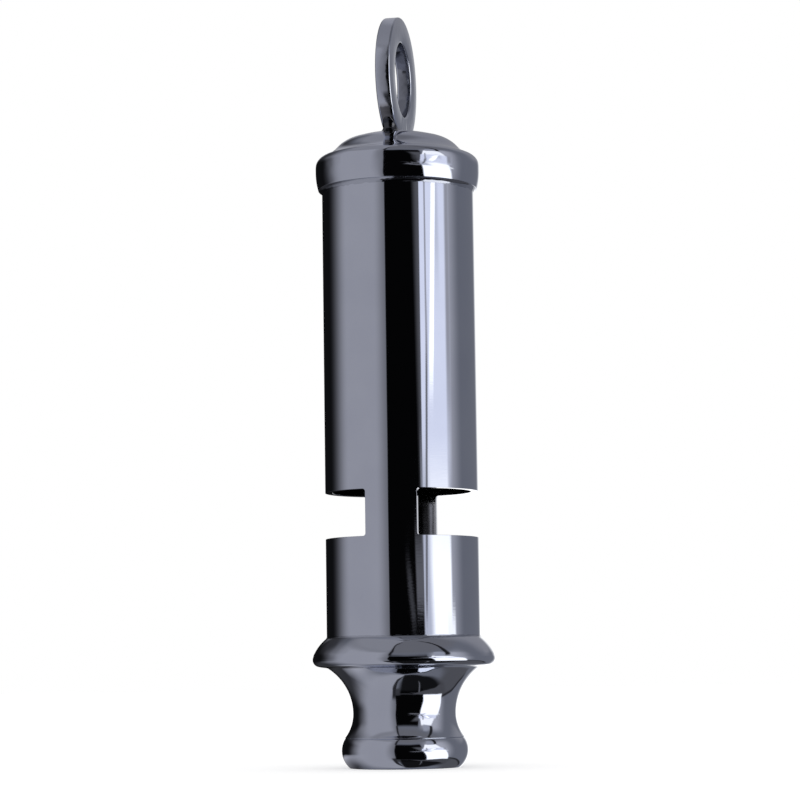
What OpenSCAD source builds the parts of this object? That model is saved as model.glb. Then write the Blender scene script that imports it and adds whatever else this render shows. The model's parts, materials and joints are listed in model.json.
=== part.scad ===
// Pealess two-tone tube whistle, standing on its mouth end.
// Origin: centre of the mouth end's flat face. +Z runs up the barrel to the loop, and the
// two windows face -X and +X. All sizes are in millimetres.

/* [Barrel] */
// Outside diameter of the barrel tube
barrel_d = 16.5; // [15.5:0.1:18]
// Wall of the barrel tube
barrel_wall = 0.8; // [0.5:0.05:1.2]
// Length of the barrel tube
barrel_l = 53.65; // [45:0.05:75]

/* [Windows] */
// Height of each window along the barrel
window_h = 4.98; // [4:0.02:7]
// How deep each window is cut in from its side of the barrel
window_depth = 5.49; // [3.5:0.01:6.5]
// Corner radius of the windows
window_corner_r = 0.3; // [0.1:0.05:0.8]

/* [Windways] */
// Length of the windway blocks, from the barrel's lower end up to the window sill
windway_l = 13.45; // [10:0.05:18]
// Height of each windway, between the block's flat and the barrel's wall
windway_h = 1.05; // [0.6:0.05:1.6]
// Bevel that leads the breath into each windway
windway_lead = 1.5; // [0.5:0.1:3]

/* [Chambers] */
// Thickness of the plate that parts the two chambers
partition_t = 0.8; // [0.5:0.05:1.2]
// Thickness of the disc that closes the barrel's upper end
end_disc_t = 0.8; // [0.5:0.05:1.5]
// Thickness of the stop that shortens the right chamber
stop_t = 0.8; // [0.5:0.05:1.5]
// How far the stop's upper face lies below the barrel's upper end
stop_drop = 7.8; // [3:0.1:20]

/* [Mouthpiece] */
// Diameter of the neck at its waist
neck_d = 11.08; // [10:0.02:12.4]
// Wall of the neck at its waist
neck_wall = 0.94; // [0.7:0.02:1.3]
// How far the lip stands out beyond the waist
lip_proud = 1.23; // [0.8:0.01:2]
// Radius of the lip's outer curve
lip_curve_r = 2.39; // [2.3:0.01:3.5]
// Height of the lip's widest line above the mouth end
lip_low_h = 1.85; // [1.2:0.05:2.2]
// Height of the lip above its widest line, up to the crease
lip_top_h = 1.35; // [0.8:0.05:1.7]
// How far the neck starts inside the lip's rim, which shows as the crease
crease_step = 0.02; // [0.01:0.01:0.1]
// Height from the crease up to the waist
neck_low_h = 2.5; // [1.5:0.05:4]
// Height from the waist up to the flange's underside
neck_high_h = 5.09; // [4:0.01:7]
// Chamfer round the bore at the mouth end
mouth_chamfer = 0.4; // [0.2:0.05:0.7]
// Height over which the bore opens out to the barrel
throat_h = 2.8; // [1.5:0.1:4]

/* [Flange] */
// How far the flange stands out beyond the barrel
flange_proud = 1.55; // [1.4:0.01:2.5]
// Radius of the flange's round edge
flange_edge_r = 0.76; // [0.6:0.02:0.9]
// Width of the flat ring under the flange
flange_under_w = 0.73; // [0.3:0.01:1.2]
// Height from the middle of the round edge up to the flange's upper rim
flange_rise = 2.15; // [1.7:0.05:2.8]
// Angle at which the flange's back leaves its round edge
flange_back_angle = 21.5; // [15:0.5:30]
// Width of the flange's upper rim
flange_land = 0.2; // [0.12:0.01:0.4]
// How deep the barrel sits in the mouthpiece
socket_depth = 2.7; // [1.5:0.05:2.85]

/* [Cap] */
// Wall of the pressed cap
cap_wall = 0.625; // [0.45:0.005:0.9]
// Height of the skirt, from its lower edge to the middle of the rim's curve
skirt_h = 2.545; // [1.6:0.005:5]
// How far the skirt draws in at its lower edge
skirt_draw = 0.28; // [0.1:0.01:0.4]
// Height over which the skirt draws in
skirt_draw_h = 1.45; // [0.6:0.05:1.6]
// Radius of the rim's curve
rim_r = 1.11; // [0.95:0.01:1.6]
// Radius of the hollow step between rim and dome
step_r = 3.5; // [2:0.1:6]
// Radius of the dome's shoulder
dome_edge_r = 3.39; // [2.6:0.01:3.9]
// How far the middle of the dome's shoulder lies inside the barrel's surface
dome_inset = 4.14; // [3.4:0.02:5]
// Radius of the dome's crown
dome_r = 16.25; // [13:0.25:25]
// Height of the dome's crown above the middle of the rim's curve
dome_h = 3.885; // [3.3:0.005:5]

/* [Loop] */
// Outside diameter of the loop
loop_d = 13.66; // [10:0.02:18]
// Diameter of the loop's hole
loop_hole_d = 8.1; // [5:0.02:9]
// Thickness of the loop
loop_t = 1.66; // [1:0.02:2]
// Radius of the loop's rounded edges
loop_edge_r = 0.22; // [0.1:0.01:0.4]
// How deep the loop's rim sinks into the dome
loop_sink = 1.02; // [0.7:0.01:1.2]
// Turn of the loop about the barrel's axis, in degrees
loop_turn = -4; // [-90:0.5:90]
// Width of the tang under the loop
tang_w = 3.4; // [2:0.1:5]
// Length of the tang below the loop's rim
tang_l = 1.1; // [0.5:0.1:2]

/* [Solder] */
// Height of the fillet under the cap
cap_fillet_h = 0.95; // [0.5:0.05:1.5]
// Height of the solder bead above the flange
flange_bead_h = 0.35; // [0.2:0.05:0.8]
// Radius of the hollow fillets at the two ends of the loop's foot
foot_fillet_r = 1; // [0.7:0.05:1.3]
// How far these fillets stand out past the loop's faces
foot_proud = 0.12; // [0.06:0.01:0.3]
// Width of the collar round the fillets
collar_w = 0.15; // [0.1:0.01:0.4]
// Thickness of the collar on the dome
collar_t = 0.2; // [0.12:0.01:0.3]

/* [Fits] */
// Clearance round the barrel in the cap and in the mouthpiece
socket_gap = 0.05; // [0.02:0.01:0.1]
// Clearance of the pieces inside the barrel and of the loop in its slot
inner_gap = 0.03; // [0.01:0.01:0.08]

/* [Hidden] */
$fn = 128;
// How far a cut runs past the face that it opens
past = 1;

plated = "#9a9cac";
bare_brass = "#b5a05a";
solder_grey = "#85879a";

// Radii and bores
barrel_r = barrel_d / 2;
bore_r = barrel_r - barrel_wall;
socket_r = barrel_r + socket_gap;
neck_r = neck_d / 2;
mouth_bore_r = neck_r - neck_wall;
lip_r = neck_r + lip_proud;
flange_r = barrel_r + flange_proud;
skirt_r = socket_r + cap_wall;
loop_r = loop_d / 2;
loop_hole_r = loop_hole_d / 2;
inner_fit_r = bore_r - inner_gap;

// Heights, from the mouth end up
crease_z = lip_low_h + lip_top_h;
waist_z = crease_z + neck_low_h;
flange_under_z = waist_z + neck_high_h;
flange_edge_z = flange_under_z + flange_edge_r;
flange_top_z = flange_edge_z + flange_rise;
barrel_z = flange_top_z - socket_depth;
throat_z = barrel_z - throat_h;
sill_z = barrel_z + windway_l;
barrel_top_z = barrel_z + barrel_l;
end_disc_top_z = barrel_top_z + end_disc_t;
rim_z = end_disc_top_z + inner_gap - (rim_r - cap_wall);
skirt_z = rim_z - skirt_h;
crown_z = rim_z + dome_h;
loop_z = crown_z - loop_sink + loop_r;
stop_z = barrel_top_z - stop_drop - stop_t;

// Radius, to a thousandth, of the arc that starts upright and moves sideways by dr over
// the height rise
function flare_r(dr, rise) = round(500 * (dr * dr + rise * rise) / dr) / 1000;

// Where two circles about a and b, of radii ra and rb, meet, on the side away from the axis
function outer_meet(a, ra, b, rb) =
    let (
        d = norm(b - a),
        along = (ra * ra - rb * rb + d * d) / (2 * d),
        away = sqrt(ra * ra - along * along),
        u = (b - a) / d
    )
    a + along * u + away * [u[1], -u[0]];

// The middles of dome, loop and foot fillet, seen square to the loop: distance from the
// barrel's axis along x, height along y
dome_middle = [0, crown_z - dome_r];
ring_middle = [0, loop_z];
fillet_middle = outer_meet(
    dome_middle, dome_r + collar_t / 2 + foot_fillet_r,
    ring_middle, loop_r - collar_t / 4 + foot_fillet_r
);
foot_w = loop_t + 2 * foot_proud;

// The mouthpiece's outline: radius along x, height along y
lip_x = lip_r - lip_curve_r;
crease_r = lip_x + sqrt(lip_curve_r * lip_curve_r - lip_top_h * lip_top_h);
neck_low_r = flare_r(crease_r - crease_step - neck_r, neck_low_h);
flange_edge_x = flange_r - flange_edge_r;
neck_high_r = flare_r(flange_edge_x - flange_under_w - neck_r, neck_high_h);

module lip_outline() {
    intersection() {
        translate([lip_x, lip_low_h]) circle(lip_curve_r);
        square([lip_r + past, crease_z]);
    }
    square([lip_x, crease_z]);
}

// A stretch of the neck from z up, hollowed by a circle whose middle is at the waist
module neck_outline(z, h, r) {
    difference() {
        translate([0, z]) square([neck_r + r, h]);
        translate([neck_r + r, waist_z]) circle(r);
    }
}

module flange_outline() {
    edge_middle = [flange_edge_x, flange_edge_z];
    out = [cos(flange_back_angle), sin(flange_back_angle)];
    back_start = edge_middle + flange_edge_r * out;
    chord = back_start - [barrel_r + flange_land, flange_top_z];
    back_r = (chord * chord) / (2 * (chord * out));
    translate([0, flange_under_z]) square([flange_edge_x, back_start[1] - flange_under_z]);
    translate(edge_middle) circle(flange_edge_r);
    intersection() {
        translate(back_start - back_r * out) circle(back_r);
        translate([0, back_start[1]]) square([flange_r, flange_top_z - back_start[1]]);
    }
}

module mouthpiece_bore() {
    translate([0, -past]) square([mouth_bore_r, throat_z + 2 * past]);
    polygon([
        [0, 0], [mouth_bore_r + mouth_chamfer, 0],
        [mouth_bore_r, mouth_chamfer], [0, mouth_chamfer]
    ]);
    polygon([[0, throat_z], [mouth_bore_r, throat_z], [bore_r, barrel_z], [0, barrel_z]]);
    translate([0, barrel_z]) square([socket_r, socket_depth + past]);
}

module mouthpiece() {
    color(plated)
    rotate_extrude()
    difference() {
        union() {
            lip_outline();
            neck_outline(crease_z, neck_low_h, neck_low_r);
            neck_outline(waist_z, neck_high_h, neck_high_r);
            flange_outline();
        }
        mouthpiece_bore();
    }
}

// A straight bead on the flange's upper rim
module mouthpiece_solder() {
    color(solder_grey)
    rotate_extrude()
    polygon([
        [barrel_r, flange_top_z], [barrel_r + flange_land, flange_top_z],
        [barrel_r, flange_top_z + flange_bead_h]
    ]);
}

// The half-round block on the +X side
module windway_block() {
    flat_x = bore_r - windway_h;
    intersection() {
        translate([0, 0, barrel_z]) cylinder(r = inner_fit_r, h = windway_l);
        rotate([90, 0, 0])
        linear_extrude(height = barrel_d, center = true)
        polygon([
            [partition_t / 2, barrel_z], [flat_x - windway_lead, barrel_z],
            [flat_x, barrel_z + windway_lead], [flat_x, sill_z], [partition_t / 2, sill_z]
        ]);
    }
}

module windway_block_left() {
    color(plated) mirror([1, 0, 0]) windway_block();
}

module windway_block_right() {
    color(plated) windway_block();
}

module partition() {
    color(plated)
    translate([0, 0, barrel_z])
    intersection() {
        cylinder(r = inner_fit_r, h = barrel_l);
        translate([-partition_t / 2, -barrel_r, 0]) cube([partition_t, barrel_d, barrel_l]);
    }
}

module rounded_square(size, r) {
    translate([r, 0]) square([size[0] - 2 * r, size[1]]);
    translate([0, r]) square([size[0], size[1] - 2 * r]);
    for (x = [r, size[0] - r], y = [r, size[1] - r]) {
        translate([x, y]) circle(r);
    }
}

// What the window on the +X side takes out of the barrel
module window_cut() {
    translate([barrel_r - window_depth, 0, sill_z])
    rotate([90, 0, 0])
    linear_extrude(height = barrel_d + 2 * past, center = true)
    rounded_square([window_depth + 2 * past, window_h], window_corner_r);
}

module barrel() {
    color(plated)
    difference() {
        translate([0, 0, barrel_z]) cylinder(r = barrel_r, h = barrel_l);
        translate([0, 0, barrel_z - past]) cylinder(r = bore_r, h = barrel_l + 2 * past);
        window_cut();
        mirror([1, 0, 0]) window_cut();
    }
}

module chamber_stop() {
    color(bare_brass)
    translate([0, 0, stop_z])
    intersection() {
        cylinder(r = inner_fit_r, h = stop_t);
        translate([partition_t / 2, -barrel_r, 0]) cube([barrel_r, barrel_d, stop_t]);
    }
}

module end_disc() {
    color(bare_brass)
    translate([0, 0, barrel_top_z])
    cylinder(r = socket_r - (rim_r - cap_wall), h = end_disc_t);
}

// The cap's outline, drawn in by the inset on every side: 0 for its outside and cap_wall
// for its inside. Rim, step, shoulder and crown are arcs that run smoothly into each other.
module cap_outline(inset) {
    rim = [skirt_r - rim_r, rim_z];
    edge_x = barrel_r - dome_inset;
    edge = [edge_x, dome_middle[1] + sqrt(pow(dome_r - dome_edge_r, 2) - edge_x * edge_x)];
    step = outer_meet(edge, step_r + dome_edge_r, rim, step_r + rim_r);
    rim_end = rim + (step - rim) * rim_r / (step_r + rim_r);
    edge_end = edge + (step - edge) * dome_edge_r / (step_r + dome_edge_r);
    crown_end_x = edge_x * (dome_r - inset) / (dome_r - dome_edge_r);
    translate([0, skirt_z]) square([skirt_r - inset, skirt_h]);
    translate([0, skirt_z]) square([rim[0], skirt_h + rim_r - inset]);
    translate(rim) circle(rim_r - inset);
    intersection() {
        translate(edge) circle(dome_edge_r - inset);
        translate([0, skirt_z]) square([skirt_r, crown_z]);
    }
    intersection() {
        translate(dome_middle) circle(dome_r - inset);
        translate([0, rim_z]) square([crown_end_x, crown_z]);
    }
    difference() {
        polygon([[0, rim_z], rim, rim_end, step, edge_end, edge, [0, edge[1]]]);
        translate(step) circle(step_r + inset);
    }
}

// What the skirt's lower edge loses as it draws in
module skirt_draw_cut() {
    r = flare_r(skirt_draw, skirt_draw_h);
    difference() {
        translate([socket_r, skirt_z - past]) square([cap_wall + past, skirt_draw_h + past]);
        translate([skirt_r - r, skirt_z + skirt_draw_h]) circle(r);
    }
}

// A round blank as wide as the loop, grown by gap on every side
module loop_blank(gap) {
    translate([0, 0, loop_z])
    rotate([0, 0, loop_turn])
    rotate([0, 90, 0])
    cylinder(r = loop_r + gap, h = loop_t + 2 * gap, center = true);
}

module tang(gap) {
    top_z = loop_z - loop_hole_r - (loop_r - loop_hole_r) / 2;
    low_z = loop_z - loop_r - tang_l;
    rotate([0, 0, loop_turn])
    translate([0, 0, (top_z + low_z) / 2])
    cube([loop_t + 2 * gap, tang_w + 2 * gap, top_z - low_z], center = true);
}

module top_cap() {
    color(plated)
    difference() {
        rotate_extrude()
        difference() {
            cap_outline(0);
            cap_outline(cap_wall);
            translate([0, skirt_z - past]) square([socket_r, skirt_h]);
            skirt_draw_cut();
        }
        loop_blank(inner_gap);
        tang(inner_gap);
    }
}

// A hollow fillet that runs smoothly into the barrel
module cap_solder() {
    w = skirt_r - skirt_draw - barrel_r;
    r = flare_r(w, cap_fillet_h);
    low_z = skirt_z - cap_fillet_h;
    color(solder_grey)
    rotate_extrude()
    difference() {
        polygon([[barrel_r, skirt_z], [barrel_r + w, skirt_z], [barrel_r, low_z]]);
        translate([barrel_r + r, low_z]) circle(r);
    }
}

module loop() {
    color(plated) {
        translate([0, 0, loop_z])
        rotate([0, 0, loop_turn])
        rotate([0, 90, 0])
        rotate_extrude()
        translate([loop_hole_r, -loop_t / 2])
        rounded_square([loop_r - loop_hole_r, loop_t], loop_edge_r);
        tang(0);
    }
}

// The solder that fills the corners between loop and dome at the two ends of the loop's
// foot. Each fillet starts inside the collar, and runs out on the loop's rim and laps over
// its edges.
module foot_fillets() {
    for (turn = [0, 180]) {
        rotate([0, 0, loop_turn + turn])
        rotate([90, 0, 90])
        linear_extrude(height = foot_w, center = true)
        difference() {
            polygon([dome_middle, fillet_middle, ring_middle]);
            translate(dome_middle) circle(dome_r + collar_t / 4);
            translate(ring_middle) circle(loop_r - foot_proud);
            translate(fillet_middle) circle(foot_fillet_r);
        }
    }
}

// A plate with round corners that follows the dome's crown under the loop's foot
module collar() {
    half = [foot_w / 2 + collar_w, fillet_middle[0]];
    intersection() {
        rotate_extrude()
        difference() {
            translate(dome_middle) circle(dome_r + collar_t);
            translate(dome_middle) circle(dome_r);
            translate([-2 * dome_r, crown_z - 3 * dome_r]) square([2 * dome_r, 4 * dome_r]);
            translate([0, crown_z - 3 * dome_r]) square([2 * dome_r, 2.5 * dome_r]);
        }
        rotate([0, 0, loop_turn])
        translate([0, 0, crown_z - dome_r / 4])
        linear_extrude(height = dome_r / 2)
        translate(-half)
        rounded_square(2 * half, 3 * collar_w);
    }
}

module loop_solder() {
    color(solder_grey)
    difference() {
        union() {
            foot_fillets();
            collar();
        }
        loop_blank(0);
        tang(0);
    }
}

mouthpiece();
mouthpiece_solder();
windway_block_left();
windway_block_right();
partition();
barrel();
chamber_stop();
end_disc();
top_cap();
cap_solder();
loop();
loop_solder();
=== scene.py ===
"""Tube whistle in bright plated brass, standing on its mouth end.

Lengths are written in millimetres and turned to metres by MM. Outlines are lists of
(radius, height) points. The camera stands before the whistle, a little to its right.
"""

import json
import math

import bmesh
import bpy
from mathutils import Matrix, Vector, noise


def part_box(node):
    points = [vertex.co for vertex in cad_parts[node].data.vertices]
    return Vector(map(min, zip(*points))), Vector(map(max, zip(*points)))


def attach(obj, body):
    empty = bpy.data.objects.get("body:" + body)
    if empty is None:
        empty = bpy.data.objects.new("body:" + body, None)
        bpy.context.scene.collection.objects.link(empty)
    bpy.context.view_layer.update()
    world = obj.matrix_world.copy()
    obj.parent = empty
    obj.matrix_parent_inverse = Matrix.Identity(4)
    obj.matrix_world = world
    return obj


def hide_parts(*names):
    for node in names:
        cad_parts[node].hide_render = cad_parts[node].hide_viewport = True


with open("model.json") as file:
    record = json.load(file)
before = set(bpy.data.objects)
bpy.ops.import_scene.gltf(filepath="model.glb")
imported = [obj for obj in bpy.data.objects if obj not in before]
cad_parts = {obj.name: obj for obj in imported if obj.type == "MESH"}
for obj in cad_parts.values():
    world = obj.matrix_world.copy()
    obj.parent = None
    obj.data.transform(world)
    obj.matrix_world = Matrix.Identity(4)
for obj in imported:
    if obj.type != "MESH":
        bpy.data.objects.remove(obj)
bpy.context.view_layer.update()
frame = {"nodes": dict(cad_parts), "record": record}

MM = 0.001
scene = bpy.context.scene
scene.view_settings.view_transform = "Standard"


def heights(name):
    """Lowest and highest point of a CAD node, in mm."""
    low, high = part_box(name)
    return low.z / MM, high.z / MM


# Barrel: a drawn tube with a window cut into each side
BARREL_R, BORE_R = 8.25, 7.45
BARREL_LOW, BARREL_TOP = heights("barrel")
SILL = heights("windway_block_left")[1]
WINDOW_H = 4.98
POST_HALF = 2.76
CORNER_R = 0.3
WINDOW_EDGE = 0.1

# Mouthpiece: lip, hollow neck and bead flange
MOUTH_BORE_R, MOUTH_CHAMFER = 4.6, 0.4
LIP_MIDDLE, LIP_R = (4.377, 1.854), 2.39
LIP_START, LIP_END = -50.9, 33.0
CREASE_BED, CREASE = (6.33, 3.2), (6.41, 3.225)
SEAT_GAP = 0.02
WAIST = (5.513, 5.78)
NECK_END = (8.12, 10.6)
EDGE_MIDDLE, EDGE_R = (9.038, 11.554), 0.754
BACK_MIDDLE, BACK_R = (5.369, 10.11), 4.73
EDGE_START, BACK_START, BACK_END = -75.0, 21.4, 51.9
THROAT = 8.2

# Cap: skirt, rim, hollow step, shoulder and crown
CAP_WALL = 0.625
SKIRT_LOW = 62.45
DRAW_MIDDLE, DRAW_R = (1.995, 64.4), 6.93
RIM_MIDDLE, RIM_R = (7.815, 64.988), 1.11
STEP_MIDDLE, STEP_R = (9.297, 69.357), 3.5
SHOULDER_MIDDLE, SHOULDER_R = (4.11, 64.816), 3.39
DOME_R = 16.25
CROWN = heights("top_cap")[1]

# Solder where the barrel meets the cap and the flange, and how deep it sits in both
CAP_SOLDER_LOW, CAP_SOLDER_REACH = 61.95, 8.53
FLANGE_SOLDER_LOW, FLANGE_SOLDER_TOP, FLANGE_SOLDER_W = 13.74, 14.03, 0.15
SOLDER_SUNK = 0.1

# Loop: a flat ring that stands in the dome, turned a little about the whistle's axis
LOOP_HOLE = frame["record"]["mounts"][0]
LOOP_HOLE_R, LOOP_T = LOOP_HOLE["dims"]["r_mm"], LOOP_HOLE["dims"]["length_mm"]
LOOP_TURN = math.degrees(math.atan2(LOOP_HOLE["axis"][1], LOOP_HOLE["axis"][0]))
LOOP_LOW, LOOP_TOP = heights("loop")
LOOP_MIDDLE = LOOP_HOLE["pos_m"][2] / MM
LOOP_R = LOOP_TOP - LOOP_MIDDLE
LOOP_EDGE_R = 0.22
TANG_W = 3.4
# The solder at its foot: how high it climbs the rim, how far it runs out on the dome, how
# far in from the rim the corner lies that it fills, and the radius of its round ends
FOOT_CLIMB, FOOT_REACH, FOOT_CORNER, FOOT_END_R = 69.74, 5.08, 1.21, 0.95

# Steps round a turned piece, and round the ring
STEPS_ROUND = 256
# Two numbers this close count as the same
CLOSE = 1e-4


# Outlines


def arc(middle, radius, start, end, step=3.0):
    """Points on a circle, from one angle to another, in degrees anticlockwise."""
    count = max(2, math.ceil(abs(end - start) / step))
    angles = [math.radians(start + (end - start) * i / count) for i in range(count + 1)]
    return [(middle[0] + radius * math.cos(a), middle[1] + radius * math.sin(a)) for a in angles]


def hollow_arc(upright, flared):
    """A hollow arc that starts upright at one point and flares out to the other."""
    dr, dz = flared[0] - upright[0], flared[1] - upright[1]
    radius = (dr * dr + dz * dz) / (2 * dr)
    middle = (upright[0] + radius, upright[1])
    end = math.degrees(math.atan2(flared[1] - middle[1], flared[0] - middle[0])) % 360
    return arc(middle, radius, 180, end)


def bezier(start, leave, arrive, end, count=12):
    """Points on a cubic curve between two points, with a handle at each."""
    points = []
    for i in range(count + 1):
        t = i / count
        shares = ((1 - t) ** 3, 3 * t * (1 - t) ** 2, 3 * t * t * (1 - t), t**3)
        corners = (start, leave, arrive, end)
        points.append(tuple(sum(s * p[k] for s, p in zip(shares, corners)) for k in (0, 1)))
    return points


def aimed(point, angle, length):
    """The point that lies this far from another, at an angle in degrees."""
    a = math.radians(angle)
    return point[0] + length * math.cos(a), point[1] + length * math.sin(a)


def eased(points, setback, sharp=18.0, count=5):
    """An outline with its corners rounded. One that starts and ends on the axis is open."""
    out = []
    is_open = points[0][0] == points[-1][0] == 0
    total = len(points)
    for i, p in enumerate(points):
        if is_open and i in (0, total - 1):
            out.append(p)
            continue
        p = Vector(p)
        before = Vector(points[i - 1]) - p
        after = Vector(points[(i + 1) % total]) - p
        if 180 - math.degrees(before.angle(after)) < sharp:
            out.append(tuple(p))
            continue
        back = min(setback, before.length * 0.4, after.length * 0.4)
        start, end = p + before.normalized() * back, p + after.normalized() * back
        for k in range(count + 1):
            t = k / count
            out.append(tuple((1 - t) ** 2 * start + 2 * t * (1 - t) * p + t * t * end))
    return out


def mouthpiece_outline():
    """From the lip's foot up the outside, and back down the seat and the bore."""
    lip = arc(LIP_MIDDLE, LIP_R, LIP_START, LIP_END)
    low_neck = hollow_arc(WAIST, CREASE)[::-1]
    high_neck = hollow_arc(WAIST, NECK_END)
    edge = arc(EDGE_MIDDLE, EDGE_R, EDGE_START, BACK_START)
    # Under the flange the neck goes on outwards and then runs nearly level into the edge
    under = bezier(NECK_END, aimed(NECK_END, 32, 0.25), aimed(edge[0], 195, 0.6), edge[0])
    back = arc(BACK_MIDDLE, BACK_R, BACK_START, BACK_END)
    seat = BARREL_R + SEAT_GAP
    inside = [
        (seat, back[-1][1]),
        (seat, BARREL_LOW),
        (BORE_R, BARREL_LOW),
        (MOUTH_BORE_R, THROAT),
        (MOUTH_BORE_R, MOUTH_CHAMFER),
        (MOUTH_BORE_R + MOUTH_CHAMFER, 0.0),
    ]
    neck = low_neck + high_neck[1:] + under[1:-1]
    return eased(lip + [CREASE_BED] + neck + edge + back[1:] + inside, 0.05)


def cap_outline():
    """From the crown's middle down the outside, and back up the inside."""
    dome_middle = (0.0, CROWN - DOME_R)
    dome_end, shoulder_end, rim_start, rim_end = 71.35, 41.2, 71.3, 24
    step_start, step_end = -138.8, -108.7
    outside, inside = [], []
    for side, inset in ((outside, 0.0), (inside, CAP_WALL)):
        side += arc(dome_middle, DOME_R - inset, 90, dome_end, 1.5)
        side += arc(SHOULDER_MIDDLE, SHOULDER_R - inset, dome_end, shoulder_end)[1:]
        side += arc(STEP_MIDDLE, STEP_R + inset, step_start, step_end)[1:]
        side += arc(RIM_MIDDLE, RIM_R - inset, rim_start, rim_end)[1:]
        rim, skirt = side[-1], (DRAW_MIDDLE[0] + DRAW_R - inset, DRAW_MIDDLE[1])
        side += bezier(rim, aimed(rim, -66, 0.3), aimed(skirt, 90, 0.35), skirt, 8)[1:]
    outside[0], inside[0] = (0.0, CROWN), (0.0, CROWN - CAP_WALL)
    draw_end = -math.degrees(math.asin((DRAW_MIDDLE[1] - SKIRT_LOW) / DRAW_R))
    outside += arc(DRAW_MIDDLE, DRAW_R, 0, draw_end)[1:]
    inside.append((inside[-1][0], SKIRT_LOW))
    return eased(outside + inside[::-1], 0.06)


def cap_solder_outline():
    """A thin run under the cap's skirt."""
    fillet = hollow_arc((BARREL_R, CAP_SOLDER_LOW), (CAP_SOLDER_REACH, SKIRT_LOW))
    sunk, behind_skirt = BARREL_R - SOLDER_SUNK, SKIRT_LOW + 0.06
    return [(sunk, CAP_SOLDER_LOW - 0.05), *fillet, (CAP_SOLDER_REACH, behind_skirt),
            (sunk, behind_skirt)]


def flange_solder_outline():
    """A thin run where the flange's back meets the barrel."""
    foot = (BARREL_R + FLANGE_SOLDER_W, FLANGE_SOLDER_LOW)
    fillet = hollow_arc((BARREL_R, FLANGE_SOLDER_TOP), foot)
    sunk = BARREL_R - SOLDER_SUNK
    return [(sunk, FLANGE_SOLDER_TOP + 0.03), *fillet, (sunk, foot[1] - SOLDER_SUNK)]


# Node trees


def add(tree, kind, settings=None, links=None):
    """Adds a node, sets its properties, and sets or links its inputs."""
    made = tree.nodes.new(kind)
    for name, value in (settings or {}).items():
        setattr(made, name, value)
    for name, value in (links or {}).items():
        if isinstance(value, bpy.types.NodeSocket):
            tree.links.new(value, made.inputs[name])
        else:
            made.inputs[name].default_value = value
    return made


# The two colour inputs of a Mix node that mixes colours
FIRST, SECOND = 6, 7


def linear(code, strength=1.0):
    """An sRGB hex colour as Blender's linear one, as bright as its strength."""
    parts = [int(code[i : i + 2], 16) / 255 for i in (1, 3, 5)]
    parts = [c / 12.92 if c <= 0.04045 else ((c + 0.055) / 1.055) ** 2.4 for c in parts]
    return (*(c * strength for c in parts), 1.0)


def empty_material(name):
    """A material whose tree is empty, and that tree."""
    material = bpy.data.materials.new(name)
    material.use_nodes = True
    material.node_tree.nodes.clear()
    return material, material.node_tree


PATH_R = 5.0


def turning_tree():
    """Geometry nodes that turn an outline about the Z axis, as a lathe does.

    The outline is swept round a circle of radius PATH_R, so it is drawn that far inwards.
    Unevenness lifts the surface by soft noise, as on solder that has run.
    """
    tree = bpy.data.node_groups.new("turned piece", "GeometryNodeTree")
    tree.is_modifier = True
    for name, way, kind in (
        ("Outline", "INPUT", "NodeSocketGeometry"),
        ("Steps round", "INPUT", "NodeSocketInt"),
        ("Unevenness", "INPUT", "NodeSocketFloat"),
        ("Lump size", "INPUT", "NodeSocketFloat"),
        ("Seed", "INPUT", "NodeSocketFloat"),
        ("Finish", "INPUT", "NodeSocketMaterial"),
        ("Piece", "OUTPUT", "NodeSocketGeometry"),
    ):
        tree.interface.new_socket(name=name, in_out=way, socket_type=kind)
    given = add(tree, "NodeGroupInput").outputs
    profile = add(tree, "GeometryNodeMeshToCurve", links={"Mesh": given["Outline"]})
    circle = add(tree, "GeometryNodeCurvePrimitiveCircle", {"mode": "RADIUS"},
                 {"Resolution": given["Steps round"], "Radius": PATH_R * MM})
    path = add(tree, "GeometryNodeSetCurveNormal", {"mode": "Z_UP"},
               {"Curve": circle.outputs["Curve"]})
    swept = add(tree, "GeometryNodeCurveToMesh",
                links={"Curve": path.outputs["Curve"], "Profile Curve": profile.outputs[0]})
    merged = add(tree, "GeometryNodeMergeByDistance",
                 links={"Geometry": swept.outputs["Mesh"], "Distance": 1e-7})
    frequency = add(tree, "ShaderNodeMath", {"operation": "DIVIDE"},
                    {0: 1.0, 1: given["Lump size"]})
    lumps = add(tree, "ShaderNodeTexNoise", {"noise_dimensions": "4D"},
                {"W": given["Seed"], "Scale": frequency.outputs[0], "Detail": 2.0})
    centred = add(tree, "ShaderNodeMath", {"operation": "SUBTRACT"},
                  {0: lumps.outputs[0], 1: 0.5})
    lift = add(tree, "ShaderNodeMath", {"operation": "MULTIPLY"},
               {0: centred.outputs[0], 1: given["Unevenness"]})
    normal = add(tree, "GeometryNodeInputNormal")
    offset = add(tree, "ShaderNodeVectorMath", {"operation": "SCALE"},
                 {0: normal.outputs[0], "Scale": lift.outputs[0]})
    moved = add(tree, "GeometryNodeSetPosition",
                links={"Geometry": merged.outputs[0], "Offset": offset.outputs[0]})
    real = add(tree, "GeometryNodeRealizeInstances", links={"Geometry": moved.outputs[0]})
    finished = add(tree, "GeometryNodeSetMaterial",
                   links={"Geometry": real.outputs[0], "Material": given["Finish"]})
    add(tree, "NodeGroupOutput", links={"Piece": finished.outputs[0]})
    return tree


TURNING = turning_tree()


# Pieces


def show(name, mesh):
    """A new object at the origin with this mesh, in the scene."""
    obj = bpy.data.objects.new(name, mesh)
    scene.collection.objects.link(obj)
    return obj


def worked(bm, name, *finishes):
    """A worked mesh as a smooth-shaded piece with its finishes."""
    mesh = bpy.data.meshes.new(name)
    bm.to_mesh(mesh)
    bm.free()
    for finish in finishes:
        mesh.materials.append(finish)
    mesh.shade_smooth()
    return show(name, mesh)


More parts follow.
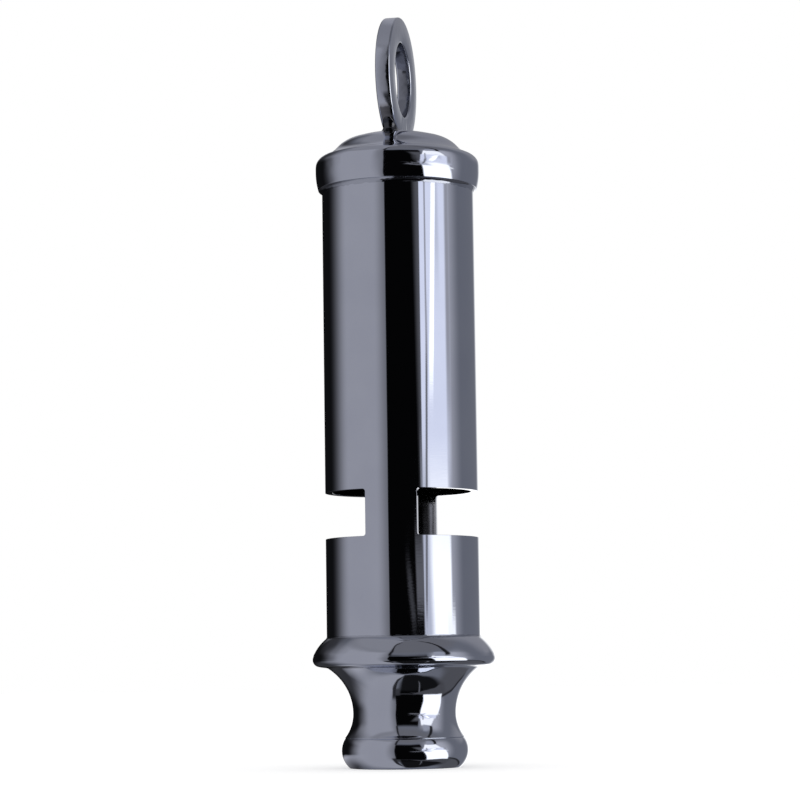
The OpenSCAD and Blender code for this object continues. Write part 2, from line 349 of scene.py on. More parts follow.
def made_plain(obj):
    """Turns what the modifiers make into the object's own mesh, its faces outwards."""
    graph = bpy.context.evaluated_depsgraph_get()
    mesh = bpy.data.meshes.new_from_object(obj.evaluated_get(graph))
    bm = bmesh.new()
    bm.from_mesh(mesh)
    bmesh.ops.recalc_face_normals(bm, faces=bm.faces)
    bm.to_mesh(mesh)
    bm.free()
    obj.modifiers.clear()
    obj.data = mesh
    mesh.shade_smooth()
    return obj


def weigh_normals(obj):
    """Lets the big faces set the shading, so that a small rounding doesn't bend them."""
    weighted = obj.modifiers.new("shading by face area", "WEIGHTED_NORMAL")
    weighted.mode, weighted.weight = "FACE_AREA", 60
    return obj


def turned(name, outline, finish, unevenness=0.0, lump=1.0, seed=0.0):
    """A piece turned about the Z axis from an outline in mm."""
    mesh = bpy.data.meshes.new(name)
    total = len(outline)
    is_open = outline[0][0] == outline[-1][0] == 0
    edges = [(i, (i + 1) % total) for i in range(total - 1 if is_open else total)]
    mesh.from_pydata([((r - PATH_R) * MM, -z * MM, 0.0) for r, z in outline], edges, [])
    obj = show(name, mesh)
    lathe = obj.modifiers.new("lathe", "NODES")
    lathe.node_group = TURNING
    values = {"Steps round": STEPS_ROUND, "Unevenness": unevenness * MM,
              "Lump size": lump * MM, "Seed": seed, "Finish": finish}
    for socket in TURNING.interface.items_tree:
        if socket.name in values:
            lathe[socket.identifier] = values[socket.name]
    return weigh_normals(made_plain(obj))


def half_width(z):
    """Half the width of the posts beside the windows, at a height."""
    in_corner = CORNER_R - min(z - SILL, SILL + WINDOW_H - z)
    if in_corner <= 0:
        return POST_HALF
    in_corner = min(in_corner, CORNER_R)
    return POST_HALF + CORNER_R - math.sqrt(CORNER_R**2 - in_corner**2)


def barrel_rows(below=8, beside=6, above=20, margin=0.4):
    """Heights of the barrel's rings of points, close together in the windows' corners.

    The counts are of steps below, beside and above the windows. A ring at a small margin
    from the windows keeps the shading round them to itself.
    """
    top = SILL + WINDOW_H
    curve = [CORNER_R * (1 - math.cos(math.radians(a))) for a in range(0, 91, 15)]
    rows = [BARREL_LOW + (SILL - BARREL_LOW) * i / below for i in range(below)]
    rows += [SILL - margin] + [SILL + c for c in curve]
    rows += [SILL + WINDOW_H * i / beside for i in range(1, beside)]
    rows += [top - c for c in curve[::-1]] + [top + margin]
    rows += [top + (BARREL_TOP - top) * i / above for i in range(1, above + 1)]
    return rows


def barrel_columns(radius, z, on_post=28, on_window=100):
    """Angles round the barrel at a height, and whether a window lies after each."""
    post = math.asin(half_width(z) / radius)
    columns = []
    for side in (0, 1):
        front = -math.pi / 2 + side * math.pi
        columns += [(front - post + 2 * post * i / on_post, False) for i in range(on_post)]
        gap = math.pi - 2 * post
        columns += [(front + post + gap * i / on_window, True) for i in range(on_window)]
    return columns


def barrel_grid(bm):
    """The barrel's two skins, joined round the windows and at the ends."""
    rows = barrel_rows()
    skins = []
    for radius in (BARREL_R, BORE_R):
        skins.append([
            [bm.verts.new((radius * math.cos(a) * MM, radius * math.sin(a) * MM, z * MM))
             for a, _ in barrel_columns(radius, z)]
            for z in rows
        ])
    over_window = [flag for _, flag in barrel_columns(BARREL_R, SILL)]
    total = len(over_window)

    def solid(i, j):
        if not 0 <= i < len(rows) - 1:
            return False
        middle = (rows[i] + rows[i + 1]) / 2
        return not (over_window[j % total] and SILL < middle < SILL + WINDOW_H)

    outer, inner = skins
    for i in range(len(rows) - 1):
        for j in range(total):
            if not solid(i, j):
                continue
            k = (j + 1) % total
            corners = ((i, j), (i, k), (i + 1, k), (i + 1, j))
            bm.faces.new([outer[a][b] for a, b in corners])
            bm.faces.new([inner[a][b] for a, b in corners[::-1]])
            beside = ((i - 1, j), (i, j + 1), (i + 1, j), (i, j - 1))
            for n, place in enumerate(beside):
                if not solid(*place):
                    (a, b), (c, d) = corners[n], corners[(n + 1) % 4]
                    bm.faces.new([outer[c][d], outer[a][b], inner[a][b], inner[c][d]])


def is_wall(face, share=0.4):
    """Whether a face spans a good share of the tube's wall, as those in a window do."""
    radii = [math.hypot(v.co.x, v.co.y) for v in face.verts]
    return max(radii) - min(radii) > share * (BARREL_R - BORE_R) * MM


def skin_side(face, upright=0.999):
    """1 for a face on the outside of the tube, -1 for one in its bore, 0 for the rest."""
    middle = face.calc_center_median()
    out = Vector((middle.x, middle.y, 0)).normalized()
    along = face.normal.dot(out)
    return 0 if abs(along) < upright or is_wall(face) else round(along)


def barrel(finish, inside):
    """The barrel, with softened window edges and true round shading on both skins."""
    bm = bmesh.new()
    barrel_grid(bm)
    bm.normal_update()
    edges = [
        e for e in bm.edges
        if sorted(map(is_wall, e.link_faces)) == [False, True]
        and not any(abs(v.co.z / MM - z) < 10 * CLOSE
                    for v in e.verts for z in (BARREL_LOW, BARREL_TOP))
    ]
    bmesh.ops.bevel(bm, geom=edges, offset=WINDOW_EDGE * MM, segments=4, profile=0.5,
                    affect="EDGES", clamp_overlap=True)
    bm.normal_update()
    bm.faces.index_update()
    sides = {f.index: skin_side(f) for f in bm.faces}
    normals = []
    for vert in bm.verts:
        faces = vert.link_faces
        side = next((sides[f.index] for f in faces if sides[f.index]), 0)
        if side:
            normals.append(Vector((vert.co.x, vert.co.y, 0)).normalized() * side)
            continue
        walls = [f.normal for f in faces if is_wall(f)]
        normals.append(sum(walls, Vector()).normalized() if walls else vert.normal.copy())
    for face in bm.faces:
        face.material_index = int(sides[face.index] < 0)
    obj = worked(bm, "barrel_tube", finish, inside)
    obj.data.normals_split_custom_set_from_vertices(normals)
    return obj


def loop(finish, in_hole, on_rim):
    """The ring with its tang: a rounded section carried round, drawn out at the foot."""
    middle = Vector((0, 0, LOOP_MIDDLE))
    half, soft = LOOP_T / 2, LOOP_EDGE_R
    section = []
    for r, h, start in (
        (LOOP_R - soft, half - soft, 0),
        (LOOP_HOLE_R + soft, half - soft, 90),
        (LOOP_HOLE_R + soft, soft - half, 180),
        (LOOP_R - soft, soft - half, 270),
    ):
        section += arc((r, h), soft, start, start + 90, 15)
    reach = middle.z - LOOP_LOW
    corner = math.degrees(math.atan2(TANG_W / 2, reach))
    side = math.degrees(math.asin(TANG_W / 2 / LOOP_R))
    lug = [side, (side + corner) / 2, corner, corner / 2]
    plain = [side + (360 - 2 * side) * i / STEPS_ROUND for i in range(1, STEPS_ROUND)]
    angles = sorted(lug + [-a for a in lug] + [0.0] + plain)
    turn = Matrix.Rotation(math.radians(LOOP_TURN), 4, "Z")
    bm = bmesh.new()
    rings = []
    for degrees in angles:
        a = math.radians(degrees)
        wide = TANG_W / 2 / max(abs(math.sin(a)), CLOSE)
        grown = 0.0
        if abs(degrees) <= side:
            grown = min(wide, reach / math.cos(a)) - LOOP_R
        ring = []
        for r, h in section:
            r += grown if r > (LOOP_R + LOOP_HOLE_R) / 2 else 0.0
            place = middle + Vector((h, r * math.sin(a), -r * math.cos(a)))
            ring.append(bm.verts.new(turn @ (place * MM)))
        rings.append(ring)
    for i, ring in enumerate(rings):
        after = rings[(i + 1) % len(rings)]
        for j in range(len(ring)):
            k = (j + 1) % len(ring)
            face = bm.faces.new([ring[j], ring[k], after[k], after[j]])
            if max(section[j][0], section[k][0]) < LOOP_HOLE_R + CLOSE:
                face.material_index = 1
            elif min(section[j][0], section[k][0]) > LOOP_R - CLOSE:
                face.material_index = 2
    bmesh.ops.remove_doubles(bm, verts=bm.verts, dist=1e-8)
    bmesh.ops.recalc_face_normals(bm, faces=bm.faces)
    return weigh_normals(worked(bm, "loop_ring", finish, in_hole, on_rim))


def dome_height(s, h):
    """Height of the dome's crown at a place, seen from above."""
    return CROWN - DOME_R + math.sqrt(DOME_R**2 - s * s - h * h)


def rim_reach(h, z):
    """How far the loop's rim reaches from the whistle's axis, across the loop and up."""
    flat = LOOP_T / 2 - LOOP_EDGE_R
    over = max(0.0, abs(h) - flat)
    radius = LOOP_R - LOOP_EDGE_R + math.sqrt(max(0.0, LOOP_EDGE_R**2 - over * over))
    return math.sqrt(radius**2 - (LOOP_MIDDLE - z) ** 2)


def foot_line(ends=40, sides=24):
    """Places round the loop's foot: a share of the way along it, and an angle at its ends."""
    line = [(1, math.pi * (i / ends - 0.5)) for i in range(ends)]
    line += [(1 - 2 * i / sides, math.pi / 2) for i in range(sides)]
    return line + [(-x, a + math.pi if x == 1 and a < math.pi / 2 else -a) for x, a in line]


def foot_solder(finish, leg=0.15, lump=0.6, unevenness=0.04, rows=12):
    """The solder run round the foot of the loop.

    At both ends it fills the narrow wedge between rim and dome with a hollow, round-ended
    fillet, and along the two faces it is a thin fillet. It is spanned between a closed
    line on the loop and a closed line on the dome, both a hair inside the metal.
    """
    half, hair = LOOP_T / 2, 0.02
    foot = dome_height(3.0, half) + leg
    climb = FOOT_CLIMB - foot
    places = foot_line()
    rings = [[] for _ in range(rows + 1)]
    for x, a in places:
        way = math.copysign(1, x) if abs(x) == 1 else 0
        across, ahead = math.sin(a), abs(math.cos(a))
        h = across * (half - hair)
        share = 1 - abs(across) ** 3 if way else 0.0
        z = foot + climb * share
        top = Vector((x * rim_reach(h, z), h, z))
        if share == 0:
            top.z = dome_height(top.x, h) + leg
        low = Vector((x * (FOOT_REACH - FOOT_END_R * (1 - ahead)), across * (half + leg), 0))
        low.z = dome_height(low.x, low.y) - hair
        # The middle handle of the curve lies in the corner, and further in off the ridge
        bend = Vector((top.x - way * share * (FOOT_CORNER + 0.7 * (1 - ahead)), h, 0))
        bend.z = dome_height(bend.x, h) + 0.03
        out = Vector((way * ahead, across, 0)).normalized()
        for k in range(rows + 1):
            t = k / rows
            place = (1 - t) ** 2 * top + 2 * t * (1 - t) * bend + t * t * low
            swell = noise.noise(place / lump) * unevenness * math.sin(math.pi * t)
            rings[k].append(place + out * swell)
    turn = Matrix.Rotation(math.radians(LOOP_TURN - 90), 4, "Z")
    bm = bmesh.new()
    made = [[bm.verts.new(turn @ (p * MM)) for p in ring] for ring in rings]
    total = len(places)
    for above, below in zip(made, made[1:]):
        for i in range(total):
            j = (i + 1) % total
            bm.faces.new([above[i], above[j], below[j], below[i]])
    # Both ends are closed inside the loop
    for ring, above_crown in ((made[0], 0.3), (made[-1], -0.4)):
        middle = bm.verts.new((0, 0, (CROWN + above_crown) * MM))
        for i in range(total):
            bm.faces.new([ring[i], ring[(i + 1) % total], middle])
    bmesh.ops.recalc_face_normals(bm, faces=bm.faces)
    return worked(bm, "loop_run", finish)


def cut_piece(node, name, finish, edge=0.06, sharp=40.0):
    """A CAD node with its cut edges broken, as a file or a deburring wheel leaves them.

    In a copy, the node's loose triangles are joined and its flat faces made whole first.
    """
    bm = bmesh.new()
    bm.from_mesh(frame["nodes"][node].data)
    bmesh.ops.remove_doubles(bm, verts=bm.verts, dist=2e-7)
    bmesh.ops.dissolve_limit(bm, angle_limit=math.radians(0.2), verts=bm.verts,
                             edges=bm.edges)
    obj = worked(bm, name, finish)
    bevel = obj.modifiers.new("broken edges", "BEVEL")
    bevel.width, bevel.segments = edge * MM, 2
    bevel.limit_method, bevel.angle_limit = "ANGLE", math.radians(sharp)
    return weigh_normals(obj)


# Materials


def metal(name):
    """A metal's material, its tree, its shader's inputs and its object coordinates."""
    material, tree = empty_material(name)
    shader = add(tree, "ShaderNodeBsdfPrincipled", links={"Metallic": 1.0})
    add(tree, "ShaderNodeOutputMaterial", links={"Surface": shader.outputs[0]})
    place = add(tree, "ShaderNodeTexCoord").outputs["Object"]
    return material, tree, shader.inputs, place


def mottle(tree, place, size, detail=3.0, stretch=(1, 1, 1), reach=None, between=(0.3, 0.7)):
    """Noise whose patches are about this many mm across.

    With a reach, what lies between two values of the noise is spread over that reach.
    """
    mapped = add(tree, "ShaderNodeMapping", links={"Vector": place, "Scale": stretch})
    patches = add(tree, "ShaderNodeTexNoise", links={
        "Vector": mapped.outputs[0], "Scale": 1 / (size * MM), "Detail": detail}).outputs[0]
    if reach is None:
        return patches
    return add(tree, "ShaderNodeMapRange", links={
        "Value": patches, "From Min": between[0], "From Max": between[1],
        "To Min": reach[0], "To Max": reach[1]}).outputs[0]


def plated(name, light, dark, smooth, dull, wave, wave_size, lines, shade_below=None):
    """Chromium plate over brass: a hard cold mirror that follows the metal under it.

    It lies between a light and a dark colour and between a smooth and a dull roughness. A
    wave is so many mm high and across, and lines are so high. A shade below is a height in
    mm and a colour: below that height the plate is painted in that colour as painted shade,
    with an uneven upper edge.
    """
    material, tree, shader, place = metal(name)
    shade = add(tree, "ShaderNodeMix", {"data_type": "RGBA"}, {
        "Factor": mottle(tree, place, 6.0, reach=(0, 1)),
        FIRST: linear(dark), SECOND: linear(light)}).outputs[2]
    # Painted shade: below the given height the colour turns to a darker one, with a ragged edge
    if shade_below:
        height, shade_colour = shade_below
        edge = 0.5
        up = add(tree, "ShaderNodeSeparateXYZ", links={"Vector": place}).outputs["Z"]
        ragged = add(tree, "ShaderNodeMath", {"operation": "MULTIPLY_ADD"}, {
            0: mottle(tree, place, 0.5), 1: edge * MM, 2: up})
        clear = add(tree, "ShaderNodeMapRange", links={
            "Value": ragged.outputs[0], "From Min": height * MM,
            "From Max": (height + edge) * MM})
        shade = add(tree, "ShaderNodeMix", {"data_type": "RGBA"}, {
            "Factor": clear.outputs[0], FIRST: linear(shade_colour), SECOND: shade}).outputs[2]
    tree.links.new(shade, shader["Base Color"])
    # Wiping leaves a faint haze in patches a few mm across
    haze = mottle(tree, place, 2.5, 4.0, reach=(smooth, dull))
    tree.links.new(haze, shader["Roughness"])
    # The buffing wheel leaves slow waves, and lines round the piece, drawn coarser than
    # they are so that they show
    waves = mottle(tree, place, wave_size, 1.0)
    buffing = mottle(tree, place, 1.2, 2.0, (1, 1, 14))
    slow = add(tree, "ShaderNodeBump", links={"Height": waves, "Distance": wave * MM})
    fine = add(tree, "ShaderNodeBump", links={
        "Height": buffing, "Distance": lines * MM, "Normal": slow.outputs[0]})
    tree.links.new(fine.outputs[0], shader["Normal"])
    return material


def bare_brass():
    """Sawn and turned brass left bare inside: warm, satin, with saw lines and tarnish."""
    material, tree, shader, place = metal("bare brass, sawn")
    grain = (1.8, 5.0)
    colour = add(tree, "ShaderNodeMix", {"data_type": "RGBA"}, {
        "Factor": mottle(tree, place, *grain, reach=(0, 1), between=(0.35, 0.7)),
        FIRST: linear("#c8a866"), SECOND: linear("#93744a")})
    tree.links.new(colour.outputs[2], shader["Base Color"])
    tree.links.new(mottle(tree, place, *grain, reach=(0.28, 0.5)), shader["Roughness"])
    sawing = mottle(tree, place, 0.8, 3.0, (1, 9, 9))
    bump = add(tree, "ShaderNodeBump", links={"Height": sawing, "Distance": 0.01 * MM})
    tree.links.new(bump.outputs[0], shader["Normal"])
    return material


# Stage

# The camera's place in degrees round the whistle and in mm, and how it is turned
CAMERA_TURN = 8.5
CAMERA_FAR, CAMERA_HIGH = 287.41, 10.25
CAMERA_PITCH, CAMERA_YAW, CAMERA_ROLL = 5.806, -0.010, -0.779
LENS, SENSOR_W = 120.0, 36.0


def place_camera():
    """Level with the mouthpiece, looking up a little along the whistle."""
    data = bpy.data.cameras.new("camera")
    data.lens, data.sensor_width = LENS, SENSOR_W
    data.clip_start = 10 * MM
    camera = bpy.data.objects.new("camera", data)
    scene.collection.objects.link(camera)
    pitch, yaw, roll = (math.radians(a) for a in (CAMERA_PITCH, CAMERA_YAW, CAMERA_ROLL))
    ahead = Vector((math.sin(yaw) * math.cos(pitch), math.cos(yaw) * math.cos(pitch),
                    math.sin(pitch)))
    level = Vector((math.cos(yaw), -math.sin(yaw), 0))
    up = level.cross(ahead)
    right = level * math.cos(roll) + up * math.sin(roll)
    top = up * math.cos(roll) - level * math.sin(roll)
    turn = Matrix([right, top, -ahead]).transposed().to_4x4()
    turn.translation = Vector((0, -CAMERA_FAR, CAMERA_HIGH)) * MM
    camera.matrix_world = Matrix.Rotation(math.radians(CAMERA_TURN), 4, "Z") @ turn
    scene.camera = camera


def panel_tree():
    """One soft-edged panel of the studio, laid over what is behind it.

    Places are in degrees: azimuth from the camera's side, growing to the image's right,
    and elevation from the horizon. A leaning side moves with elevation.
    """
    tree = bpy.data.node_groups.new("studio panel", "ShaderNodeTree")
    tree.interface.new_socket(name="Behind", in_out="INPUT", socket_type="NodeSocketColor")
    tree.interface.new_socket(name="Light", in_out="INPUT", socket_type="NodeSocketColor")
    for name in ("Azimuth", "Elevation", "Left", "Left blur", "Left lean", "Right",
                 "Right blur", "Right lean", "Low", "Low blur", "High", "High blur"):
        tree.interface.new_socket(name=name, in_out="INPUT", socket_type="NodeSocketFloat")
    tree.interface.new_socket(name="Seen", in_out="OUTPUT", socket_type="NodeSocketColor")
    given = add(tree, "NodeGroupInput").outputs
    cover = None
    for name, along, sign in (("Left", "Azimuth", 1), ("Right", "Azimuth", -1),
                              ("Low", "Elevation", 1), ("High", "Elevation", -1)):
        edge = given[name]
        if along == "Azimuth":
            edge = add(tree, "ShaderNodeMath", {"operation": "MULTIPLY_ADD"}, {
                0: given["Elevation"], 1: given[name + " lean"], 2: edge}).outputs[0]
        past = add(tree, "ShaderNodeMath", {"operation": "SUBTRACT"},
                   {0: given[along], 1: edge}).outputs[0]
        share = add(tree, "ShaderNodeMath", {"operation": "DIVIDE"},
                    {0: past, 1: given[name + " blur"]}).outputs[0]
        mask = add(tree, "ShaderNodeMapRange", {"interpolation_type": "SMOOTHSTEP"}, {
            "Value": share, "From Min": -0.5 * sign, "From Max": 0.5 * sign}).outputs[0]
        if cover is not None:
            mask = add(tree, "ShaderNodeMath", {"operation": "MULTIPLY"},
                       {0: cover, 1: mask}).outputs[0]
        cover = mask
    over = add(tree, "ShaderNodeMix", {"data_type": "RGBA"}, {
        "Factor": cover, FIRST: given["Behind"], SECOND: given["Light"]})
    add(tree, "NodeGroupOutput", links={"Seen": over.outputs[2]})
    return tree


GREY, COLD, WHITE, WALL = "#f6f6ff", "#eef1ff", "#ffffff", "#ecf0ff"
WALL_LIGHT = 0.225

# What each panel is, its colour, its strength, its left and right side in degrees as
# (place, blur, lean), then its low and high edge as (place, blur)
STUDIO = (
    ("dim room on the left", GREY, 0.045, (-200, 1, 0), (-60, 1, 0), (-42, 24), (42, 24)),
    ("left wall", GREY, 0.455, (-114, 56, 0), (-20.5, 1.5, 0), (-95, 1), (95, 1)),
    ("dark doorway on the left", GREY, 0.007, (-200, 1, 0), (-109, 50, 0), (-12, 14), (20, 14)),
    ("left wall's near end", GREY, 0.22, (-28, 22, 0), (-20, 2, 0), (-45, 10), (60, 10)),
    ("dark corner below the left wall", GREY, 0.03, (-29, 4, 0), (-20, 2, 0), (-95, 1), (-33, 12)),
    ("ceiling", GREY, 0.2, (-200, 1, 0), (200, 1, 0), (52, 14), (95, 1)),
    ("ceiling on the left", GREY, 0.34, (-200, 1, 0), (-24, 6, 0), (52, 14), (95, 1)),
    ("ceiling in front", GREY, 0.2, (-22, 4, 0), (40, 30, 0), (44, 20), (80, 10)),
    ("glow beside the soft box", GREY, 0.59, (40, 20, 0), (88, 34, 0), (-30, 20), (40, 20)),
    ("floor on the right", GREY, 0.12, (88, 20, 0), (160, 10, 0), (-55, 14), (-26, 3)),
    ("dark floor", GREY, 0.01, (-14, 10, 0), (100, 24, 0), (-95, 1), (-42, 4)),
    ("black front, upper half", GREY, 0.002, (-20.5, 1.5, 0), (31.5, 2, 0), (2, 1), (35, 10)),
    ("black front, lower half", GREY, 0.002, (-20.5, 1.5, 0), (33.5, 2, -0.3), (-50, 8), (4, 1)),
    ("black front's grey foot", GREY, 0.06, (-20.5, 2, 0), (-11, 5, 0), (-54, 8), (-40, 3)),
    ("streak across the floor", GREY, 0.2, (8, 3, -0.6), (11, 3, -0.6), (-66, 6), (-44, 4)),
    ("table's edge", GREY, 0.05, (-19, 2, 0), (30, 4, 0), (-43.5, 1), (-41.8, 1)),
    ("soft box, upper half", WHITE, 1.45, (31.3, 2, 0.25), (76, 5, -0.5), (3, 3), (31, 5)),
    ("soft box, lower half", WHITE, 1.75, (34.5, 3, -0.3), (79, 5, -0.5), (-39, 4), (3.5, 3)),
    ("soft box's foot", WHITE, 1.5, (70, 2, 0), (84.5, 5, 0), (0.2, 0.4), (1.2, 0.6)),
    ("soft box's cloth above", COLD, 0.5, (36, 4, 0.25), (68, 8, -0.2), (29, 4), (46, 8)),
    ("shadow under the soft box", GREY, 0.1, (219, 14, 4.4), (104, 12, 0), (-46, 2), (-28, 3)),
    ("soft box's lavender middle", COLD, 1.2, (31, 2, 0), (80, 8, 0), (4.2, 1.6), (12, 3)),
    ("soft box's far part", COLD, 0.92, (53, 4, 0), (72, 6, -1), (8.6, 2), (13, 3)),
    ("soft box's dim edge", COLD, 0.8, (33, 3, -1), (48, 12, -2), (-1, 2), (4.6, 2)),
    ("soft box's lamp", WHITE, 1.9, (33.5, 2, 1.7), (40.5, 2, 1.7), (6.2, 1.5), (11.5, 3)),
    ("wall right of the soft box", GREY, 0.48, (74, 5, 0), (82, 6, 0), (5, 5), (13, 3)),
    ("gap's grey side", GREY, 0.13, (33, 10, -0.9), (31.3, 2, 0), (1.5, 0.5), (20, 10)),
    ("gap's grey strip", GREY, 0.16, (23, 3, -1.5), (31.3, 2, 0), (1.3, 0.3), (2.8, 1.2)),
    ("gap's dark line", GREY, 0.24, (32.4, 1.5, 0.95), (35.6, 1.5, 0.95), (1.2, 0.8), (7.4, 2)),
    ("gap's faint line", GREY, 0.5, (39, 1.5, 0), (41.5, 1.5, 0), (7, 2), (16, 4)),
    ("stand's grey face", GREY, 0.07, (20.5, 2, -7), (27.5, 2, -7.5), (1.0, 0.3), (2.2, 0.8)),
    ("stand's dark edge", GREY, 0.004, (27.5, 2, -7.5), (30.5, 2, -7.5), (1.0, 0.3), (2.6, 0.8)),
    ("light wedge by the gap", GREY, 0.2, (13, 8, 2), (33, 2, 0), (-1.9, 1), (0.3, 0.3)),
    ("left ceiling beam", GREY, 0.02, (-22.5, 2.5, 0), (-18, 2.5, 0), (34, 6), (84, 6)),
    ("right ceiling beam", GREY, 0.02, (44.5, 3, 0.45), (51.5, 3, 0.45), (31, 3), (80, 6)),
    ("shelf's shadow", GREY, 0.03, (92, 8, 0), (153, 10, 0), (-27, 3), (-23.5, 2)),
    ("wall above the backdrop", GREY, 0.33, (130, 30, 0), (190, 1, 0), (14, 8), (70, 20)),
    ("the same wall's left end", GREY, 0.45, (-190, 1, 0), (-167, 20, 0), (15, 8), (70, 20)),
    ("backdrop", WHITE, 1.1, (163, 22, 0), (190, 1, 0), (-14, 8), (14, 8)),
    ("backdrop by the floor", WHITE, 1.5, (169, 10, 0), (190, 1, 0), (-8, 5), (2, 2)),
)


def light_studio():
    """The world: white to the eye, even for matt things, and panels for what mirrors."""
    world = bpy.data.worlds.new("studio")
    scene.world = world
    world.use_nodes = True
    tree = world.node_tree
    tree.nodes.clear()
    way = add(tree, "ShaderNodeTexCoord").outputs["Generated"]
    turned_way = add(tree, "ShaderNodeVectorRotate", {"rotation_type": "Z_AXIS"},
                     {"Vector": way, "Angle": math.radians(-CAMERA_TURN)})
    x, y, z = add(tree, "ShaderNodeSeparateXYZ",
                  links={"Vector": turned_way.outputs[0]}).outputs
    nearer = add(tree, "ShaderNodeMath", {"operation": "MULTIPLY"}, {0: y, 1: -1.0})
    around = add(tree, "ShaderNodeMath", {"operation": "ARCTAN2"},
                 {0: x, 1: nearer.outputs[0]})
    azimuth = add(tree, "ShaderNodeMath", {"operation": "DEGREES"}, {0: around.outputs[0]})
    rise = add(tree, "ShaderNodeMath", {"operation": "ARCSINE"}, {0: z})
    elevation = add(tree, "ShaderNodeMath", {"operation": "DEGREES"}, {0: rise.outputs[0]})
    panel = panel_tree()
    seen = linear(WALL, WALL_LIGHT)
    for label, colour, strength, left, right, low, high in STUDIO:
        made = add(tree, "ShaderNodeGroup", {"node_tree": panel, "label": label}, {
            "Behind": seen, "Light": linear(colour, strength),
            "Azimuth": azimuth.outputs[0], "Elevation": elevation.outputs[0],
            "Left": left[0], "Left blur": left[1], "Left lean": left[2],
            "Right": right[0], "Right blur": right[1], "Right lean": right[2],
            "Low": low[0], "Low blur": low[1], "High": high[0], "High blur": high[1],
        })
        seen = made.outputs[0]
    ray = add(tree, "ShaderNodeLightPath").outputs
    plain = add(tree, "ShaderNodeMath", {"operation": "MAXIMUM"},
                {0: ray["Is Camera Ray"], 1: ray["Is Diffuse Ray"]})
    over = add(tree, "ShaderNodeMix", {"data_type": "RGBA"}, {
        "Factor": plain.outputs[0], FIRST: seen, SECOND: linear(WHITE)})
    back = add(tree, "ShaderNodeBackground", links={"Color": over.outputs[2]})
    add(tree, "ShaderNodeOutputWorld", links={"Surface": back.outputs[0]})


def level_sheet(name, half, material):
    """A level square sheet about the origin, with half its side given in metres."""
    mesh = bpy.data.meshes.new(name)
    corners = [(x * half, y * half, 0) for x, y in ((-1, -1), (1, -1), (1, 1), (-1, 1))]
    mesh.from_pydata(corners, [], [(0, 1, 2, 3)])
    mesh.materials.append(material)
    return show(name, mesh)


def lay_floor(half=1.2, glow=0.45):
    """A plain white floor. It stays white to the eye and keeps a soft shadow."""
    material, tree = empty_material("matt white paper")
    paper = add(tree, "ShaderNodeBsdfDiffuse", links={"Color": linear("#d8d8d8")})
    lift = add(tree, "ShaderNodeEmission", links={"Color": linear(WHITE), "Strength": glow})
    both = add(tree, "ShaderNodeAddShader", links={0: paper.outputs[0], 1: lift.outputs[0]})
    add(tree, "ShaderNodeOutputMaterial", links={"Surface": both.outputs[0]})
    floor = level_sheet("floor", half, material)
    floor.visible_glossy = False


# The card's middle, as the camera sees it, half its size and how high it lies
CARD_MIDDLE, CARD_REACH, CARD_LIFT = (-9.5, 3.0), (5.0, 12.0), 0.02
CARD_LIGHT, CARD_FADE = 0.5, 0.9


def lay_card():
    """A pale soft-edged card on the floor, left of the lip. Only polished metal sees it."""
    material, tree = empty_material("pale card")
    place = add(tree, "ShaderNodeTexCoord").outputs["Object"]
    near = add(tree, "ShaderNodeTexGradient", {"gradient_type": "SPHERICAL"},
               {"Vector": place})
    cover = add(tree, "ShaderNodeMapRange", links={
        "Value": near.outputs[1], "From Min": 0.0, "From Max": CARD_FADE})
    glow = add(tree, "ShaderNodeEmission",
               links={"Color": linear(GREY), "Strength": CARD_LIGHT})
    clear = add(tree, "ShaderNodeBsdfTransparent")
    both = add(tree, "ShaderNodeMixShader", links={
        0: cover.outputs[0], 1: clear.outputs[0], 2: glow.outputs[0]})
    add(tree, "ShaderNodeOutputMaterial", links={"Surface": both.outputs[0]})
    card = level_sheet("card", 1, material)
    size = Matrix.Diagonal((CARD_REACH[0] * MM, CARD_REACH[1] * MM, 1, 1))
    moved = Matrix.Translation(Vector((*CARD_MIDDLE, CARD_LIFT)) * MM)
    card.matrix_world = Matrix.Rotation(math.radians(CAMERA_TURN), 4, "Z") @ moved @ size
    card.visible_camera = card.visible_diffuse = card.visible_shadow = False
    card.visible_transmission = False


# Build

place_camera()
light_studio()
lay_floor()
lay_card()

# A drawn tube is the smoothest: clean upright reflections that hardly waver
DRAWN_TUBE = plated("chromium plate over drawn brass", "#cfd3de", "#c9cdd9", 0.02, 0.04,
                    0.003, 5.0, 0.0004)
# Turned and buffed by hand: bright, with wandering edges to the reflections
TURNED = plated("chromium plate over turned brass", "#cfd3de", "#c9cdd9", 0.04, 0.07,
                0.045, 2.2, 0.0006)
# Stamped and tumbled: a slightly softer mirror
STAMPED = plated("chromium plate over stamped brass", "#cfd3de", "#c3c7d3", 0.05, 0.1,
                 0.008, 0.8, 0.001)
# The same, with painted shade: grey below a ragged line at the rim's foot, where it goes down into
# the solder and the dome
RIM_WITH_PAINTED_SHADE = plated("chromium plate over a stamped rim, smoked at its foot", "#cfd3de", "#c3c7d3",
             0.05, 0.1, 0.008, 0.8, 0.001, (70.85, "#8c8987"))
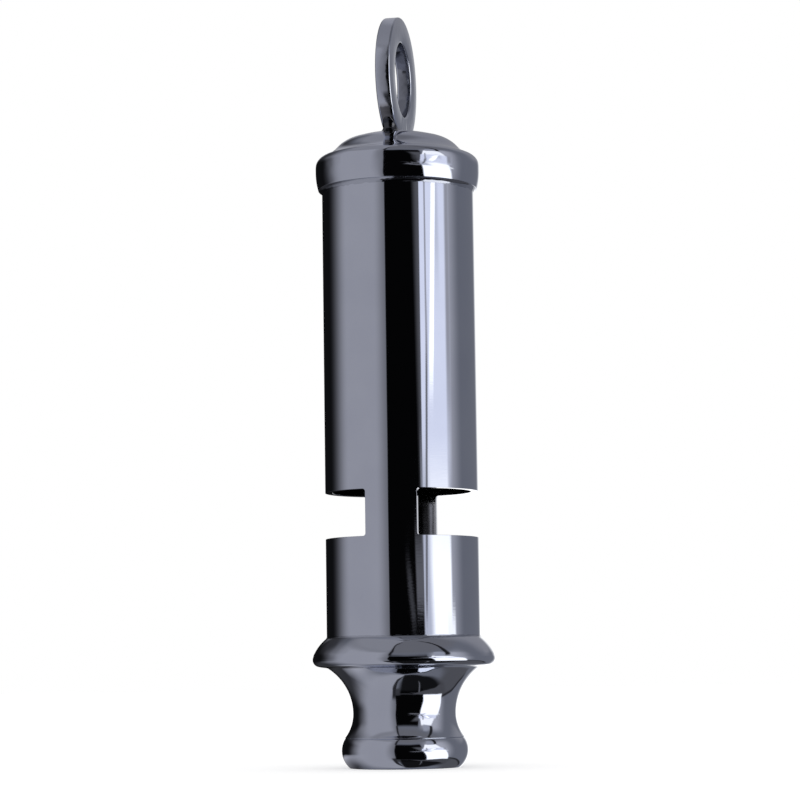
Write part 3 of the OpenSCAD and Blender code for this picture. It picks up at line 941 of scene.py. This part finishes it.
# Punched through and left unbuffed: rougher, with broken blurred reflections; its darker colour is
# painted shade in the hole
PUNCHED_IN_PAINTED_SHADE = plated("chromium plate over the punched hole", "#a9acb6", "#898c96", 0.09, 0.16,
                 0.02, 0.9, 0.001)
# Solder takes the plate less evenly: a greyer, lumpy line
RUN_SOLDER = plated("chromium plate over run solder", "#c2c6d1", "#a9adb9", 0.05, 0.1,
                    0.02, 0.9, 0.001)
# No wheel reaches into the corner, so there the solder is dull; its dark colour is painted shade
# in the corner between loop and dome
CORNER_SOLDER_IN_PAINTED_SHADE = plated("chromium plate over solder, dull in the corner", "#66676b", "#3e3f43",
                       0.06, 0.12, 0.03, 0.6, 0.002)
# Plate is thin and duller down in the bore; its darker grey is painted shade for the dark inside
# the tube, here and on the windway blocks
BORE_IN_PAINTED_SHADE = plated("chromium plate over the drawn bore, painted darker as shade", "#989ba4", "#80838c", 0.05, 0.09,
              0.004, 1.5, 0.001)
# Rolled sheet keeps a flat, slightly warm and bright face
ROLLED = plated("chromium plate over rolled sheet", "#dedad2", "#d2cec6", 0.05, 0.09,
                0.004, 1.5, 0.001)
BRASS = bare_brass()

PIECES = (
    (turned("mouthpiece_turned", mouthpiece_outline(), TURNED), "mouthpiece", "plated_brass"),
    (turned("flange_run", flange_solder_outline(), RUN_SOLDER, 0.03, 0.7, 3.0),
     "mouthpiece_solder", "plated_solder"),
    (barrel(DRAWN_TUBE, BORE_IN_PAINTED_SHADE), "barrel", "plated_brass"),
    (turned("cap_pressed", cap_outline(), TURNED), "top_cap", "plated_brass"),
    (turned("cap_run", cap_solder_outline(), RUN_SOLDER, 0.05, 0.6, 7.0),
     "cap_solder", "plated_solder"),
    (loop(STAMPED, PUNCHED_IN_PAINTED_SHADE, RIM_WITH_PAINTED_SHADE), "loop", "plated_brass"),
    (foot_solder(CORNER_SOLDER_IN_PAINTED_SHADE), "loop_solder", "plated_solder"),
    (cut_piece("windway_block_left", "block_left", BORE_IN_PAINTED_SHADE), "windway_block_left",
     "plated_brass"),
    (cut_piece("windway_block_right", "block_right", BORE_IN_PAINTED_SHADE), "windway_block_right",
     "plated_brass"),
    (cut_piece("partition", "partition_plate", ROLLED), "partition", "plated_brass"),
    (cut_piece("chamber_stop", "stop_disc", BRASS), "chamber_stop", "bare_brass"),
    (cut_piece("end_disc", "end_plate", BRASS), "end_disc", "bare_brass"),
)

for piece, node, slot in PIECES:
    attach(piece, "root")
    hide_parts(node)

bpy.context.view_layer.update()
